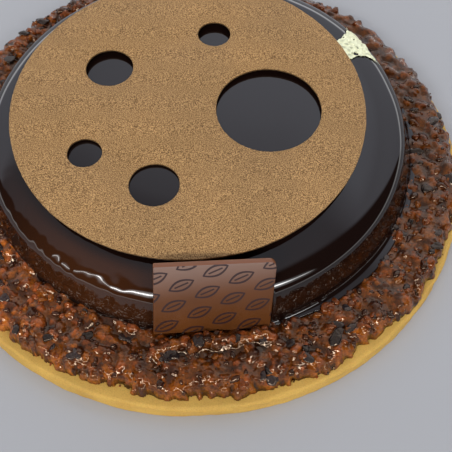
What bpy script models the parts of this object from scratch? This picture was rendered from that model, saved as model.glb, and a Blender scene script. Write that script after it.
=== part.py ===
"""Mirror-glazed chocolate cake on a shortbread disc, ringed with caramelised nibs.

Metres, +Z up. The origin is the middle of the shortbread's underside, and the side
that carries the chocolate plaque faces -Y.
"""
import math
import random

import bmesh
import bpy
from mathutils import Matrix, Vector

MM = 0.001
GAP = 0.3 * MM

# Shortbread disc
BASE_RADIUS = 110 * MM
BASE_HEIGHT = 7 * MM
BASE_TOP_EDGE = 2.2 * MM
BASE_LOWER_EDGE = 0.8 * MM

# Nib and caramel layer, which runs through under the cake
PRALINE_RADIUS = 107.2 * MM
PRALINE_TOP = 11.5 * MM
PRALINE_EDGE_DROP = 1.6 * MM
PRALINE_RING_START = 92.5 * MM
PRALINE_RING_RISE = 8 * MM
PRALINE_LEAN = 1.2 * MM
PRALINE_LEAN_ANGLE = math.radians(62)
RING_RISE = 0.4 * MM
HEAPS = (
    (math.radians(140), math.radians(34), 2.6 * MM),
    (math.radians(-84), math.radians(12), 1.8 * MM),
)
RAGGED_WAVES = ((5, 0.35 * MM), (8, 0.4 * MM), (13, 0.45 * MM), (21, 0.4 * MM))

# Nibs fused to the layer, largest first: how many, smallest and largest half-length
NIB_SIZES = ((46, 2.9 * MM, 3.9 * MM), (64, 2.0 * MM, 2.7 * MM), (54, 1.4 * MM, 1.8 * MM))
NIB_CORNERS = 11
NIB_SPACING = 0.8
NIB_SEED = 7

# Glazed cake: flat top, elliptical shoulder, leaning side and a foot of run glaze
CAKE_CENTRE = Vector((0.45 * MM, 4.85 * MM, 0))
CAKE_BOTTOM = PRALINE_TOP + GAP
CAKE_TOP = 33.2 * MM
FLAT_RADIUS = 58 * MM
SHOULDER_REACH = 26.5 * MM
SHOULDER_DROP = 10.2 * MM
SIDE_LEAN = math.radians(21)
FOOT_TOP = 14 * MM
FOOT_FLARE = 0.9 * MM
PUDDLE_REACH = 0.9 * MM
PUDDLE_ANGLE = math.radians(-14)
PUDDLE_SPREAD = math.radians(26)

# Cocoa disc: it touches down at the front and rises a little towards the back
DISC_CENTRE = Vector((-3.0 * MM, 4.3 * MM, 0))
DISC_RADIUS = 70.1 * MM
DISC_THICKNESS = 1.2 * MM
DISC_TOP_AT_ORIGIN = 36 * MM
DISC_TILT = math.radians(1.4)
DISC_HOLES = (
    (29.0 * MM, 2.2 * MM, 20.7 * MM),
    (-35.2 * MM, 22.6 * MM, 9.6 * MM),
    (-13.9 * MM, -34.1 * MM, 9.4 * MM),
    (-41.0 * MM, -20.0 * MM, 6.6 * MM),
    (6.9 * MM, 41.9 * MM, 6.8 * MM),
)

# Chocolate plaque, pressed a little into the cake's side
PLAQUE_WIDTH = 41.7 * MM
PLAQUE_LENGTH = 30.8 * MM
PLAQUE_THICKNESS = 2.7 * MM
PLAQUE_FOOT = Vector((8.2 * MM, -83.2 * MM, 14.6 * MM))
PLAQUE_TURN = math.radians(8.5)
PLAQUE_LEAN = math.radians(20.5)
PLAQUE_SPIN = math.radians(5.5)
PLAQUE_CORNER = 2.6 * MM
PLAQUE_BEVEL = 0.35 * MM
SEAT_OPEN = 6 * MM

# Gold leaf, from under the disc's edge out to the rim
LEAF_START = math.radians(22.6)
LEAF_END = math.radians(32)
LEAF_WIDENING = math.radians(5.5)
LEAF_NOTCH = math.radians(2.2)
LEAF_INNER = 65 * MM
LEAF_OUTER = 83.3 * MM
LEAF_THICKNESS = 0.3 * MM
LEAF_LIFT = 0.45 * MM
LEAF_WAVE = 0.12 * MM
LEAF_STEPS = (7, 8)

SEGMENTS = 80


def clear_scene():
    for old in list(bpy.data.objects):
        bpy.data.objects.remove(old, do_unlink=True)


def principled(name, colour, roughness, metallic=0.0):
    material = bpy.data.materials.new(name)
    material.use_nodes = True
    shader = material.node_tree.nodes["Principled BSDF"]
    shader.inputs["Base Color"].default_value = (*colour, 1.0)
    shader.inputs["Roughness"].default_value = roughness
    shader.inputs["Metallic"].default_value = metallic
    return material


def add_object(name, shape, material, smooth_angle=None):
    """Turn a bmesh into a named object with one material."""
    bmesh.ops.recalc_face_normals(shape, faces=shape.faces)
    mesh = bpy.data.meshes.new(name)
    shape.to_mesh(mesh)
    shape.free()
    mesh.materials.append(material)
    if smooth_angle is not None:
        mesh.shade_smooth()
        mesh.set_sharp_from_angle(angle=smooth_angle)
    obj = bpy.data.objects.new(name, mesh)
    bpy.context.scene.collection.objects.link(obj)
    return obj


def turned(profile, segments=SEGMENTS):
    """Spin an outline of (radius, height) points, from axis to axis, about Z."""
    shape = bmesh.new()
    points = [shape.verts.new((radius, 0, height)) for radius, height in profile]
    edges = [shape.edges.new(pair) for pair in zip(points, points[1:])]
    bmesh.ops.spin(shape, geom=points + edges, cent=(0, 0, 0), axis=(0, 0, 1),
                   angle=math.tau, steps=segments, use_merge=True)
    bmesh.ops.remove_doubles(shape, verts=shape.verts, dist=0.001 * MM)
    return shape


def quarter_arc(centre, radius, start, end, steps=4):
    """Points of an arc in the (radius, height) plane, angles in degrees."""
    angles = [math.radians(start + (end - start) * i / steps) for i in range(steps + 1)]
    return [(centre[0] + radius * math.cos(a), centre[1] + radius * math.sin(a)) for a in angles]


def smoothstep(low, high, value):
    t = min(max((value - low) / (high - low), 0.0), 1.0)
    return t * t * (3 - 2 * t)


def angle_between(a, b):
    return abs((a - b + math.pi) % math.tau - math.pi)


def bump(angle, centre, spread):
    """A rounded rise that is 1 at its centre angle and falls off on both sides."""
    return math.exp(-(angle_between(angle, centre) / spread) ** 2)


# Shortbread

def build_base():
    top = quarter_arc((BASE_RADIUS - BASE_TOP_EDGE, BASE_HEIGHT - BASE_TOP_EDGE),
                      BASE_TOP_EDGE, 90, 0)
    low = quarter_arc((BASE_RADIUS - BASE_LOWER_EDGE, BASE_LOWER_EDGE),
                      BASE_LOWER_EDGE, 0, -90, steps=2)
    shape = turned([(0, BASE_HEIGHT)] + top + low + [(0, 0)])
    biscuit = principled("shortbread", (0.73, 0.40, 0.09), 0.75)
    return add_object("shortbread_base", shape, biscuit, math.radians(50))


# Glazed cake

def shoulder_point(turn):
    """Radius and height on the elliptical shoulder, turn 0 at the flat top."""
    radius = FLAT_RADIUS + SHOULDER_REACH * math.sin(turn)
    height = CAKE_TOP - SHOULDER_DROP * (1 - math.cos(turn))
    return radius, height


def shoulder_end():
    """The turn at which the shoulder has become as steep as the leaning side."""
    return math.atan(SHOULDER_REACH / SHOULDER_DROP / math.tan(SIDE_LEAN))


def side_radius(height):
    radius, start = shoulder_point(shoulder_end())
    return radius + (start - height) * math.tan(SIDE_LEAN)


def foot_offset(angle):
    """How far the run glaze reaches past the plain foot at an angle round the cake."""
    ripple = 0.3 * math.sin(3 * angle + 1) + 0.25 * math.sin(7 * angle) + 0.2 * math.sin(12 * angle + 2)
    return ripple * MM + PUDDLE_REACH * bump(angle, PUDDLE_ANGLE, PUDDLE_SPREAD)


def foot_radius(angle):
    return side_radius(CAKE_BOTTOM) + FOOT_FLARE + foot_offset(angle)


def cake_profile():
    steps = 12
    shoulder = [shoulder_point(shoulder_end() * i / steps) for i in range(steps + 1)]
    middle = (FOOT_TOP + shoulder[-1][1]) / 2
    low = (FOOT_TOP + CAKE_BOTTOM) / 2
    side = [(side_radius(middle), middle), (side_radius(FOOT_TOP), FOOT_TOP)]
    foot = [(side_radius(low) + FOOT_FLARE / 3, low),
            (side_radius(CAKE_BOTTOM) + FOOT_FLARE, CAKE_BOTTOM)]
    return [(0, CAKE_TOP)] + shoulder + side + foot + [(0, CAKE_BOTTOM)]


def build_cake(plaque):
    shape = turned(cake_profile())
    for vert in shape.verts:
        flat = Vector((vert.co.x, vert.co.y, 0))
        share = 1 - smoothstep(CAKE_BOTTOM, FOOT_TOP + 2 * MM, vert.co.z)
        if share > 0 and flat.length > FLAT_RADIUS:
            vert.co += flat.normalized() * foot_offset(math.atan2(flat.y, flat.x)) * share
    bmesh.ops.translate(shape, verts=shape.verts, vec=CAKE_CENTRE)
    glaze = principled("dark_glaze", (0.012, 0.006, 0.005), 0.05)
    cake = add_object("glazed_cake", shape, glaze, math.radians(40))
    seat_plaque(cake, plaque)
    return cake


def seat_plaque(cake, plaque):
    """Cut the shallow seat that the plaque is pressed into, open to the front and below."""
    width = PLAQUE_WIDTH + 2 * GAP
    depth = PLAQUE_THICKNESS + GAP + SEAT_OPEN
    height = PLAQUE_LENGTH + SEAT_OPEN
    shape = bmesh.new()
    bmesh.ops.create_cube(shape, size=1)
    bmesh.ops.scale(shape, verts=shape.verts, vec=(width, depth, height))
    middle = Vector((0, PLAQUE_THICKNESS + GAP - depth / 2, (PLAQUE_LENGTH - SEAT_OPEN) / 2))
    bmesh.ops.translate(shape, verts=shape.verts, vec=middle)
    cutter = add_object("plaque_seat_cutter", shape, plaque.data.materials[0])
    cutter.hide_render = True
    cutter.display_type = "WIRE"
    cutter.matrix_world = plaque.matrix_world
    cut = cake.modifiers.new("plaque_seat", "BOOLEAN")
    cut.operation = "DIFFERENCE"
    cut.solver = "EXACT"
    cut.object = cutter


# Cocoa disc

def build_disc():
    shape = bmesh.new()
    bmesh.ops.create_cone(shape, cap_ends=True, segments=SEGMENTS, radius1=DISC_RADIUS,
                          radius2=DISC_RADIUS, depth=DISC_THICKNESS)
    middle = Vector((DISC_CENTRE.x, DISC_CENTRE.y, -DISC_THICKNESS / 2))
    bmesh.ops.translate(shape, verts=shape.verts, vec=middle)
    cocoa = principled("cocoa_dust", (0.36, 0.20, 0.085), 0.6, 0.3)
    disc = add_object("cocoa_disc", shape, cocoa, math.radians(40))
    tilt = Matrix.Rotation(DISC_TILT, 4, "X")
    disc.matrix_world = Matrix.Translation((0, 0, DISC_TOP_AT_ORIGIN)) @ tilt
    for number, (x, y, radius) in enumerate(DISC_HOLES, start=1):
        cut_hole(disc, number, x, y, radius)
    return disc


def cut_hole(disc, number, x, y, radius):
    shape = bmesh.new()
    bmesh.ops.create_cone(shape, cap_ends=True, segments=SEGMENTS // 2, radius1=radius,
                          radius2=radius, depth=DISC_THICKNESS * 4)
    bmesh.ops.translate(shape, verts=shape.verts, vec=(x, y, 0))
    cutter = add_object(f"hole_cutter_{number}", shape, disc.data.materials[0])
    cutter.hide_render = True
    cutter.display_type = "WIRE"
    cutter.matrix_world = disc.matrix_world
    cut = disc.modifiers.new(f"hole_{number}", "BOOLEAN")
    cut.operation = "DIFFERENCE"
    cut.solver = "EXACT"
    cut.object = cutter


# Chocolate plaque

def plaque_matrix():
    lean = Matrix.Rotation(-PLAQUE_LEAN, 4, "X")
    turn = Matrix.Rotation(PLAQUE_TURN, 4, "Z")
    spin = Matrix.Rotation(PLAQUE_SPIN, 4, "Y")
    return Matrix.Translation(PLAQUE_FOOT) @ turn @ lean @ spin


def build_plaque():
    """A slab with X across and Z up its face, one top corner rounded, all edges eased."""
    half, corner = PLAQUE_WIDTH / 2, PLAQUE_CORNER
    round_corner = quarter_arc((half - corner, PLAQUE_LENGTH - corner), corner, 0, 90, steps=5)
    outline = [(-half, 0), (half, 0)] + round_corner + [(-half, PLAQUE_LENGTH)]
    shape = bmesh.new()
    front = shape.faces.new([shape.verts.new((x, 0, z)) for x, z in outline])
    back = bmesh.ops.extrude_face_region(shape, geom=[front])["geom"]
    moved = [part for part in back if isinstance(part, bmesh.types.BMVert)]
    bmesh.ops.translate(shape, verts=moved, vec=(0, PLAQUE_THICKNESS, 0))
    chocolate = principled("milk_chocolate", (0.155, 0.058, 0.026), 0.35)
    plaque = add_object("chocolate_plaque", shape, chocolate)
    plaque.matrix_world = plaque_matrix()
    bevel = plaque.modifiers.new("edges", "BEVEL")
    bevel.width = PLAQUE_BEVEL
    bevel.segments = 1
    bevel.limit_method = "ANGLE"
    bevel.angle_limit = math.radians(50)
    return plaque


# Gold leaf

def leaf_point(across, out, lift):
    """A point over the shoulder, across 0 to 1 round the cake and out 0 to 1 down it."""
    radius = LEAF_INNER + (LEAF_OUTER - LEAF_INNER) * out
    turn = math.asin((radius - FLAT_RADIUS) / SHOULDER_REACH)
    slope = SHOULDER_DROP / SHOULDER_REACH * math.tan(turn)
    normal = Vector((slope, 1)).normalized()
    ripple = LEAF_WAVE * math.sin(9 * across + 4 * out) * math.cos(11 * out - 5 * across)
    radius += normal.x * (lift + ripple)
    height = shoulder_point(turn)[1] + normal.y * (lift + ripple)
    start = LEAF_START + LEAF_NOTCH * math.sin(math.pi * out)
    end = LEAF_END + LEAF_WIDENING * out
    angle = start + (end - start) * across
    return CAKE_CENTRE + Vector((radius * math.cos(angle), radius * math.sin(angle), height))


def build_leaf():
    """A thin wavy sheet, both faces split into triangles alike."""
    columns, rows = LEAF_STEPS
    shape = bmesh.new()
    layers = []
    for lift in (LEAF_LIFT, LEAF_LIFT + LEAF_THICKNESS):
        layers.append([[shape.verts.new(leaf_point(i / columns, j / rows, lift))
                        for j in range(rows + 1)] for i in range(columns + 1)])
    for grid in layers:
        for i in range(columns):
            for j in range(rows):
                a, b = grid[i][j], grid[i + 1][j]
                c, d = grid[i + 1][j + 1], grid[i][j + 1]
                shape.faces.new((a, b, c))
                shape.faces.new((a, c, d))
    border = ([(i, 0) for i in range(columns)] + [(columns, j) for j in range(rows)]
              + [(i, rows) for i in range(columns, 0, -1)] + [(0, j) for j in range(rows, 0, -1)])
    for (i, j), (k, m) in zip(border, border[1:] + border[:1]):
        low, high = layers
        shape.faces.new((low[i][j], low[k][m], high[k][m], high[i][j]))
    gold = principled("gold_leaf", (0.87, 0.80, 0.33), 0.3, 1.0)
    return add_object("gold_leaf", shape, gold)


# Praline layer with its nibs

def ragged_reach(angle):
    """Radius of the layer's uneven outline at an angle round the base."""
    reach = PRALINE_RADIUS + PRALINE_LEAN * math.cos(angle - PRALINE_LEAN_ANGLE)
    for number, (count, depth) in enumerate(RAGGED_WAVES):
        reach += depth * math.sin(count * angle + 1.7 * number)
    return reach


def ring_height(flat):
    """Height of the layer's top: flat under the cake, heaped at the back left and the plaque."""
    from_cake = (flat - CAKE_CENTRE).length
    inside = smoothstep(PRALINE_RING_START, PRALINE_RING_START + PRALINE_RING_RISE, from_cake)
    edge = smoothstep(PRALINE_RADIUS - 6 * MM, PRALINE_RADIUS, flat.length)
    angle = math.atan2(flat.y, flat.x)
    rise = RING_RISE + sum(height * bump(angle, at, spread) for at, spread, height in HEAPS)
    return PRALINE_TOP + inside * rise - edge * PRALINE_EDGE_DROP


def build_core():
    bottom = BASE_HEIGHT + GAP
    rings = [86, 91, 94, 97, 100, 103, 105.5]
    profile = [(0, PRALINE_TOP)] + [(radius * MM, PRALINE_TOP) for radius in rings]
    profile += [(PRALINE_RADIUS, PRALINE_TOP), (PRALINE_RADIUS, bottom + 1.2 * MM),
                (PRALINE_RADIUS - 0.8 * MM, bottom), (0, bottom)]
    shape = turned(profile)
    for vert in shape.verts:
        flat = Vector((vert.co.x, vert.co.y, 0))
        if vert.co.z > PRALINE_TOP - 0.1 * MM:
            vert.co.z = ring_height(flat)
        share = smoothstep(PRALINE_RADIUS - 10 * MM, PRALINE_RADIUS, flat.length)
        if share > 0:
            reach = ragged_reach(math.atan2(flat.y, flat.x))
            vert.co += flat.normalized() * (reach - PRALINE_RADIUS) * share
    praline = principled("nib_praline", (0.20, 0.055, 0.016), 0.25)
    return add_object("praline_layer", shape, praline)


def clear_of_plaque(place, size):
    """True where a nib of this size doesn't touch the plaque's slab."""
    local = plaque_matrix().inverted() @ place
    beside = abs(local.x) > PLAQUE_WIDTH / 2 + size + 2 * GAP
    before = local.y < -size - 2 * GAP
    return beside or before


def nib_places(draw):
    """Centres and half-lengths, spread evenly in the ring by seeded throws, largest first."""
    placed = []
    for count, smallest, largest in NIB_SIZES:
        wanted = len(placed) + count
        for _ in range(20000):
            if len(placed) == wanted:
                break
            size = draw.uniform(smallest, largest)
            angle = draw.uniform(-math.pi, math.pi)
            reach = min(ragged_reach(angle) + 0.3 * size, BASE_RADIUS - 0.5 * MM) - size
            radius = draw.uniform(84 * MM, reach)
            flat = Vector((radius * math.cos(angle), radius * math.sin(angle), 0))
            from_cake = flat - CAKE_CENTRE
            foot = foot_radius(math.atan2(from_cake.y, from_cake.x))
            height = max(ring_height(flat) + 0.15 * size, BASE_HEIGHT + 2 * GAP + 0.75 * size)
            place = flat + Vector((0, 0, height))
            apart = all((place - other).length > NIB_SPACING * (size + other_size)
                        for other, other_size in placed)
            if from_cake.length > foot + size + GAP and apart and clear_of_plaque(place, size):
                placed.append((place, size))
    return placed


def add_nib(number, place, size, draw, material):
    """A crag: the convex hull of points thrown on an uneven ellipsoid."""
    shape = bmesh.new()
    lift = math.pi * (3 - math.sqrt(5))
    for i in range(NIB_CORNERS):
        height = 1 - 2 * (i + 0.5) / NIB_CORNERS
        ring = math.sqrt(1 - height * height)
        rough = draw.uniform(0.8, 1.0)
        point = Vector((ring * math.cos(lift * i), ring * math.sin(lift * i), height)) * rough
        shape.verts.new(Vector((point.x, point.y * 0.78, point.z * 0.72)) * size)
    bmesh.ops.convex_hull(shape, input=shape.verts)
    turn = Matrix.Rotation(draw.uniform(0, math.tau), 4, "Z")
    tip = Matrix.Rotation(draw.uniform(-0.35, 0.35), 4, "X")
    bmesh.ops.transform(shape, matrix=Matrix.Translation(place) @ turn @ tip, verts=shape.verts)
    return add_object(f"nib_{number}", shape, material)


def largest_shell(mesh):
    """Keep the outer body, without the loose scraps and the hollows that fusing seals."""
    shape = bmesh.new()
    shape.from_mesh(mesh)
    bmesh.ops.remove_doubles(shape, verts=shape.verts, dist=0.002 * MM)
    left = set(shape.verts)
    shells = []
    while left:
        shell, edge = set(), [left.pop()]
        while edge:
            vert = edge.pop()
            shell.add(vert)
            near = [link.other_vert(vert) for link in vert.link_edges]
            fresh = [other for other in near if other in left]
            left.difference_update(fresh)
            edge.extend(fresh)
        shells.append(shell)
    shells.sort(key=len)
    for shell in shells[:-1]:
        bmesh.ops.delete(shape, geom=list(shell), context="VERTS")
    shape.to_mesh(mesh)
    shape.free()


def build_praline():
    """Fuse the seeded nibs to the core with one union, then drop the loose pieces."""
    core = build_core()
    draw = random.Random(NIB_SEED)
    nibs = bpy.data.collections.new("nibs")
    bpy.context.scene.collection.children.link(nibs)
    for number, (place, size) in enumerate(nib_places(draw)):
        nib = add_nib(number, place, size, draw, core.data.materials[0])
        bpy.context.scene.collection.objects.unlink(nib)
        nibs.objects.link(nib)
    fuse = core.modifiers.new("fuse_nibs", "BOOLEAN")
    fuse.operation = "UNION"
    fuse.solver = "EXACT"
    fuse.operand_type = "COLLECTION"
    fuse.collection = nibs
    graph = bpy.context.evaluated_depsgraph_get()
    fused = bpy.data.meshes.new_from_object(core.evaluated_get(graph))
    core.modifiers.remove(fuse)
    core.data = fused
    for nib in list(nibs.objects):
        bpy.data.objects.remove(nib, do_unlink=True)
    bpy.data.collections.remove(nibs)
    largest_shell(core.data)
    return core


def main():
    clear_scene()
    build_base()
    build_praline()
    plaque = build_plaque()
    build_cake(plaque)
    build_disc()
    build_leaf()


main()
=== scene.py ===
"""Looks for a mirror-glazed chocolate cake on a shortbread disc with a ring of caramelised nibs.

Laid out as a Blender add-on and run as a script. Lengths are metres, and every finished piece
keeps its place in its mesh, with its object at the origin.
"""
import math
from collections import namedtuple

import bmesh
import bpy
import numpy as np
from bpy.props import FloatProperty, FloatVectorProperty, IntProperty, PointerProperty
from mathutils import Matrix, Vector


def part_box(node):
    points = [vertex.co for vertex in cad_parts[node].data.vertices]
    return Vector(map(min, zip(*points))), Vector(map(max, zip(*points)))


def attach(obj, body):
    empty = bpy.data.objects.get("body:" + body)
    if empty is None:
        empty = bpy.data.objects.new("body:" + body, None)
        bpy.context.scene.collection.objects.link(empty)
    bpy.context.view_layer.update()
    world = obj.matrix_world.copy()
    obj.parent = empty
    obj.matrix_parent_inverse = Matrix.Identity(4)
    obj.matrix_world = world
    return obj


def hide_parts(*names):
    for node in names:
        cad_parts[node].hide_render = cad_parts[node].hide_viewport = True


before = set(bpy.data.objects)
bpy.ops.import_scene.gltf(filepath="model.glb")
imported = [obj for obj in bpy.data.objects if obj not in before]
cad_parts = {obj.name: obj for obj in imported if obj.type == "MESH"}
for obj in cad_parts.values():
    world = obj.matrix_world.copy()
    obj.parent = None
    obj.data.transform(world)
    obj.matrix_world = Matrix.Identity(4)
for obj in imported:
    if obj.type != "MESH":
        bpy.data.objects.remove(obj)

bl_info = {
    "name": "Glazed Torte Looks",
    "version": (1, 0, 0),
    "blender": (4, 5, 0),
    "location": "3D View > Sidebar > Torte",
    "description": "Finishes the shortbread, nib ring, glaze, cocoa disc, plaque and gold leaf of a torte",
    "category": "Object",
}

MM = 0.001
TAU = math.tau
BLACK = (0.0, 0.0, 0.0)
WHITE = (1.0, 1.0, 1.0)

# Shortbread disc, from the frame
BASE_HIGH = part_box("shortbread_base")[1]
BASE_RADIUS = BASE_HIGH.x
BASE_TOP = BASE_HIGH.z
BASE_EDGE = 1.7 * MM
BASE_LOWER_EDGE = 0.8 * MM

# Nib layer. A bell round the cake is its middle and its spread, both in degrees
LAYER_TOP = 11.5 * MM
LAYER_RADIUS = 107.2 * MM
LAYER_LIMIT = BASE_RADIUS - 1.2 * MM
LAYER_LEAN = 1.2 * MM
LAYER_LEAN_ANGLE = math.radians(62)
LAYER_WAVES = ((5, 0.35 * MM), (8, 0.4 * MM), (13, 0.45 * MM), (21, 0.4 * MM))
LAYER_RUNS = ((-22, 17, 1.6 * MM), (-68, 9, 0.7 * MM), (-147, 15, -1.3 * MM))
LAYER_SLOPE = 4.6 * MM
LAYER_BURIED = 1.3 * MM
CHIP_MARGIN = 1.1 * MM
BED_START = 85 * MM
RING_START = 92.5 * MM
RING_RISE = 0.4 * MM
HEAPS = ((140, 34, 2.6 * MM), (-84, 12, 1.8 * MM))
PLAQUE_PILE = 4.4 * MM
BANK = (-145, 48)
BANK_HEIGHT = 1.9 * MM
POOL = (34, 40)
POOL_DEPTH = 0.85 * MM
LIGHT_SIDE = (212, 30)
LIGHTER = 0.7
DARK_SIDE = (10, 40)
DARKER = 0.4
FINE_SIDE = (-35, 45)
FINER = 0.25

# Loose pieces on the nib layer. Each is a ball of triangles split this many steps, cut by planes,
# stretched, tipped by about this many radians, raised by the sink times its size, and lies no
# further past the layer's outline than the edge
LooseKind = namedtuple("LooseKind", "name seed steps stretch cuts tip sink edge")
NUT = LooseKind("nut_pieces", 71, 1, (1.2, 0.85, 0.7), 8, 0.5, -0.3, -1.6 * MM)
SHARD = LooseKind("cocoa_shards", 76, 2, (1.25, 0.9, 0.30), 6, 0.25, 0.02, -0.6 * MM)
CRUMB = LooseKind("crumbs", 73, 0, (1.1, 0.9, 0.8), 4, 0.9, 0.2, 0.7 * MM)

# Glazed cake
CAKE_CENTRE = np.array((0.45, 4.85)) * MM
CAKE_TOP = 33.2 * MM
TOP_RISE = 0.8 * MM
FLAT_RADIUS = 58 * MM
SHOULDER_REACH = 26.5 * MM
SHOULDER_DROP = 10.2 * MM
SIDE_LEAN = math.radians(21)
FOOT_TOP = 15.5 * MM
FOOT_BOTTOM = 11.6 * MM
SHOULDER_END = math.atan(SHOULDER_REACH / SHOULDER_DROP / math.tan(SIDE_LEAN))
LIP_HEIGHT = LAYER_TOP + 1.0 * MM
PUDDLE = (-48, 15)
PUDDLE_WIDTH = 2.2
PUDDLE_HOLLOW = 1.4 * MM
RUN = (-14, 26)
RUN_WIDTH = 1.2
RIPPLE = (-122, 24)
RIPPLE_HEIGHT = 27.5 * MM
RIPPLE_BAND = 4.5 * MM
# Bell round the cake, in degrees, of the painted glow: light shining brown through the glaze at the front
# left
PAINTED_GLOW = (-116, 27)

# Cocoa disc
DISC_CENTRE = np.array((-2.6, 4.3)) * MM
DISC_RADIUS = 69.8 * MM
DISC_THICKNESS = 1.2 * MM
DISC_TOP = 36 * MM
DISC_TILT = math.radians(1.4)
DISC_EDGE = 0.25 * MM
DISC_LIFT = 2.7 * MM
DISC_CURL = (-82, 44)
DISC_CURL_OUT = 0.42
DISC_HOLES = np.array((
    (29.0, 2.2, 20.7),
    (-35.2, 22.6, 9.6),
    (-13.9, -34.1, 9.4),
    (-41.0, -20.0, 6.6),
    (6.9, 41.9, 6.8),
)) * MM

# Chocolate plaque
PLAQUE_WIDTH = 41.7 * MM
PLAQUE_LENGTH = 30.8 * MM
PLAQUE_THICKNESS = 2.7 * MM
PLAQUE_FOOT = Vector((8.2 * MM, -83.2 * MM, 14.6 * MM))
PLAQUE_TURN = math.radians(8.5)
PLAQUE_LEAN = math.radians(20.5)
PLAQUE_SPIN = math.radians(5.5)
PLAQUE_CORNER = 2.6 * MM
PLAQUE_EDGE = 0.35 * MM
PLAQUE_SMALL_CORNER = 0.5 * MM

# Leaf pattern on the plaque, in centimetres of its face
PATTERN_TURN = math.radians(-27)
PATTERN_PITCH = (1.28, 0.72)
PATTERN_LEAF = (0.45, 0.21)
PATTERN_LINE = 0.043
PATTERN_RIB = (0.26, 0.034)
PATTERN_TIP = -0.03

# Gold leaf
LEAF_START = math.radians(22.2)
LEAF_END = math.radians(30.8)
LEAF_WIDENING = math.radians(6.5)
LEAF_NOTCH = math.radians(2.2)
LEAF_INNER = 65 * MM
LEAF_OUTER = 81.6 * MM
LEAF_THICKNESS = 0.06 * MM
LEAF_TEARS = ((0.70, 0.78, 0.05, 0.04), (0.12, 0.52, 0.06, 0.05), (0.93, 0.60, 0.04, 0.03))

# Camera: where the photograph was taken from, worked out from the disc's and base's outlines
CAMERA_PLACE = Vector((12.7, -194.6, 264.7)) * MM
CAMERA_PITCH = math.radians(58.1)
CAMERA_ROLL = math.radians(0.61)
CAMERA_FOCAL = 760 / 452
CAMERA_SENSOR = 36
FLOOR_HALF_WIDTH = 3.0

# Studio light: brightness of each part of the surroundings
PANEL_FRONT = 0.56
PANEL_BACK = 1.38
PANEL_SIDES = 0.76
PANEL_COLOUR = (0.85, 0.90, 1.03)
STRIP_HEIGHT = 0.93
STRIP_HALF_WIDTH = 0.26
STRIP_CORE = 2.3
STRIP_SKIRT = 0.55
STRIP_LEFT = (-0.85, -0.35, 9.7)
STRIP_RIGHT = (0.55, 0.9, 8)
STRIP_TAIL = (-2.1, 1.3, 3.7)
HORIZON_GLOW = 1.7
ROOM_DARK = 0.03
FLOOR_TONE = (0.43, 0.43, 0.44)
BACKDROP_TONE = (0.45, 0.458, 0.485)


def length(name, description, default, low=0.0):
    return FloatProperty(name=name, description=description, default=default, min=low,
                         unit="LENGTH", precision=6)


def number_of(name, description, default):
    return IntProperty(name=name, description=description, default=default, min=0)


class TorteSizes(bpy.types.PropertyGroup):
    """Sizes of the surface detail."""

    glaze_wave: length("Glaze wave", "Depth of the slow waves in the glaze", 0.035 * MM)
    rim_ripple: length("Rim ripple", "Depth of the ripples at the front left of the rim", 0.14 * MM)
    lump_size: length("Lump size", "Mean half-length of the layer's lumps", 1.7 * MM, 0.5 * MM)
    lump_count: number_of("Lumps", "Number of lumps in the nib layer", 3300)
    nut_count: number_of("Nut pieces", "Loose caramelised nut pieces", 430)
    nut_size: length("Nut size", "Mean half-length of the loose nut pieces", 1.5 * MM, 0.4 * MM)
    shard_count: number_of("Cocoa shards", "Dark flakes of cocoa bean", 84)
    shard_size: length("Shard size", "Mean half-length of the cocoa shards", 1.8 * MM, 0.5 * MM)
    crumb_count: number_of("Crumbs", "Smallest grains on the nib layer", 300)
    crumb_size: length("Crumb size", "Mean half-length of the crumbs", 0.55 * MM, 0.1 * MM)
    cocoa_grain: length("Cocoa grain", "Width of the cocoa spray's grains", 0.31 * MM, 0.1 * MM)
    leaf_crumple: length("Leaf crumple", "Depth of the creases in the gold leaf", 0.22 * MM)


def colour_property(name, description, default):
    return FloatVectorProperty(
        name=name, description=description, subtype="COLOR", size=3, min=0, max=1, default=default)


class TorteColours(bpy.types.PropertyGroup):
    """Colours of the finishes, as linear values."""

    biscuit: colour_property("Biscuit", "Baked shortbread", (0.665, 0.405, 0.090))
    biscuit_brown: colour_property("Biscuit edge", "Browner shortbread", (0.42, 0.19, 0.036))
    glaze: colour_property("Glaze", "Cocoa glaze under its shine", (0.0075, 0.003, 0.0022))
    # Painted glow: the brown of light shining through the glaze at the front left of the shoulder, also
    # laid lightly over the side wall
    glaze_painted_glow: colour_property("Thin glaze", "Glaze where it has run thin", (0.045, 0.014, 0.0045))
    caramel: colour_property("Caramel", "Clear caramel between the nibs", (0.19, 0.050, 0.0055))
    caramel_dark: colour_property("Dark caramel", "Deep caramel and burnt sugar", (0.050, 0.012, 0.003))
    caramel_thin: colour_property("Thin caramel", "Run of caramel on the shortbread", (0.40, 0.125, 0.017))
    nut: colour_property("Nut", "Roasted nut under caramel", (0.165, 0.037, 0.007))
    nut_dark: colour_property("Dark nut", "Darkest roasted nut", (0.032, 0.009, 0.0045))
    shard: colour_property("Cocoa shard", "Flake of cocoa bean", (0.016, 0.011, 0.011))
    cocoa: colour_property("Cocoa spray", "Middle tone of the bronze spray", (0.300, 0.154, 0.053))
    cocoa_dark: colour_property("Cocoa spray shade", "Dark grains of the spray", (0.096, 0.043, 0.011))
    cocoa_light: colour_property("Cocoa spray light", "Light grains of the spray", (0.65, 0.39, 0.158))
    dark_chocolate: colour_property("Dark chocolate", "The disc's cut sides", (0.010, 0.005, 0.004))
    milk_chocolate: colour_property("Milk chocolate", "The plaque", (0.119, 0.039, 0.0095))
    # Painted sheen: a pale grey mixed into the plaque's face towards its top, standing for reflected light
    painted_sheen: colour_property("Painted_sheen", "Pale bloom towards the plaque's top", (0.33, 0.235, 0.20))
    chocolate_edge: colour_property("Plaque edge", "Lighter cut edge of the plaque", (0.215, 0.068, 0.019))
    print_ink: colour_property("Printed pattern", "Thin pattern on the plaque", (0.030, 0.014, 0.016))
    gold: colour_property("Gold leaf", "Pale gold leaf", (1.0, 0.98, 0.64))


def sizes():
    return bpy.context.scene.torte_sizes


def colours():
    return bpy.context.scene.torte_colours


# Shape helpers

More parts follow.
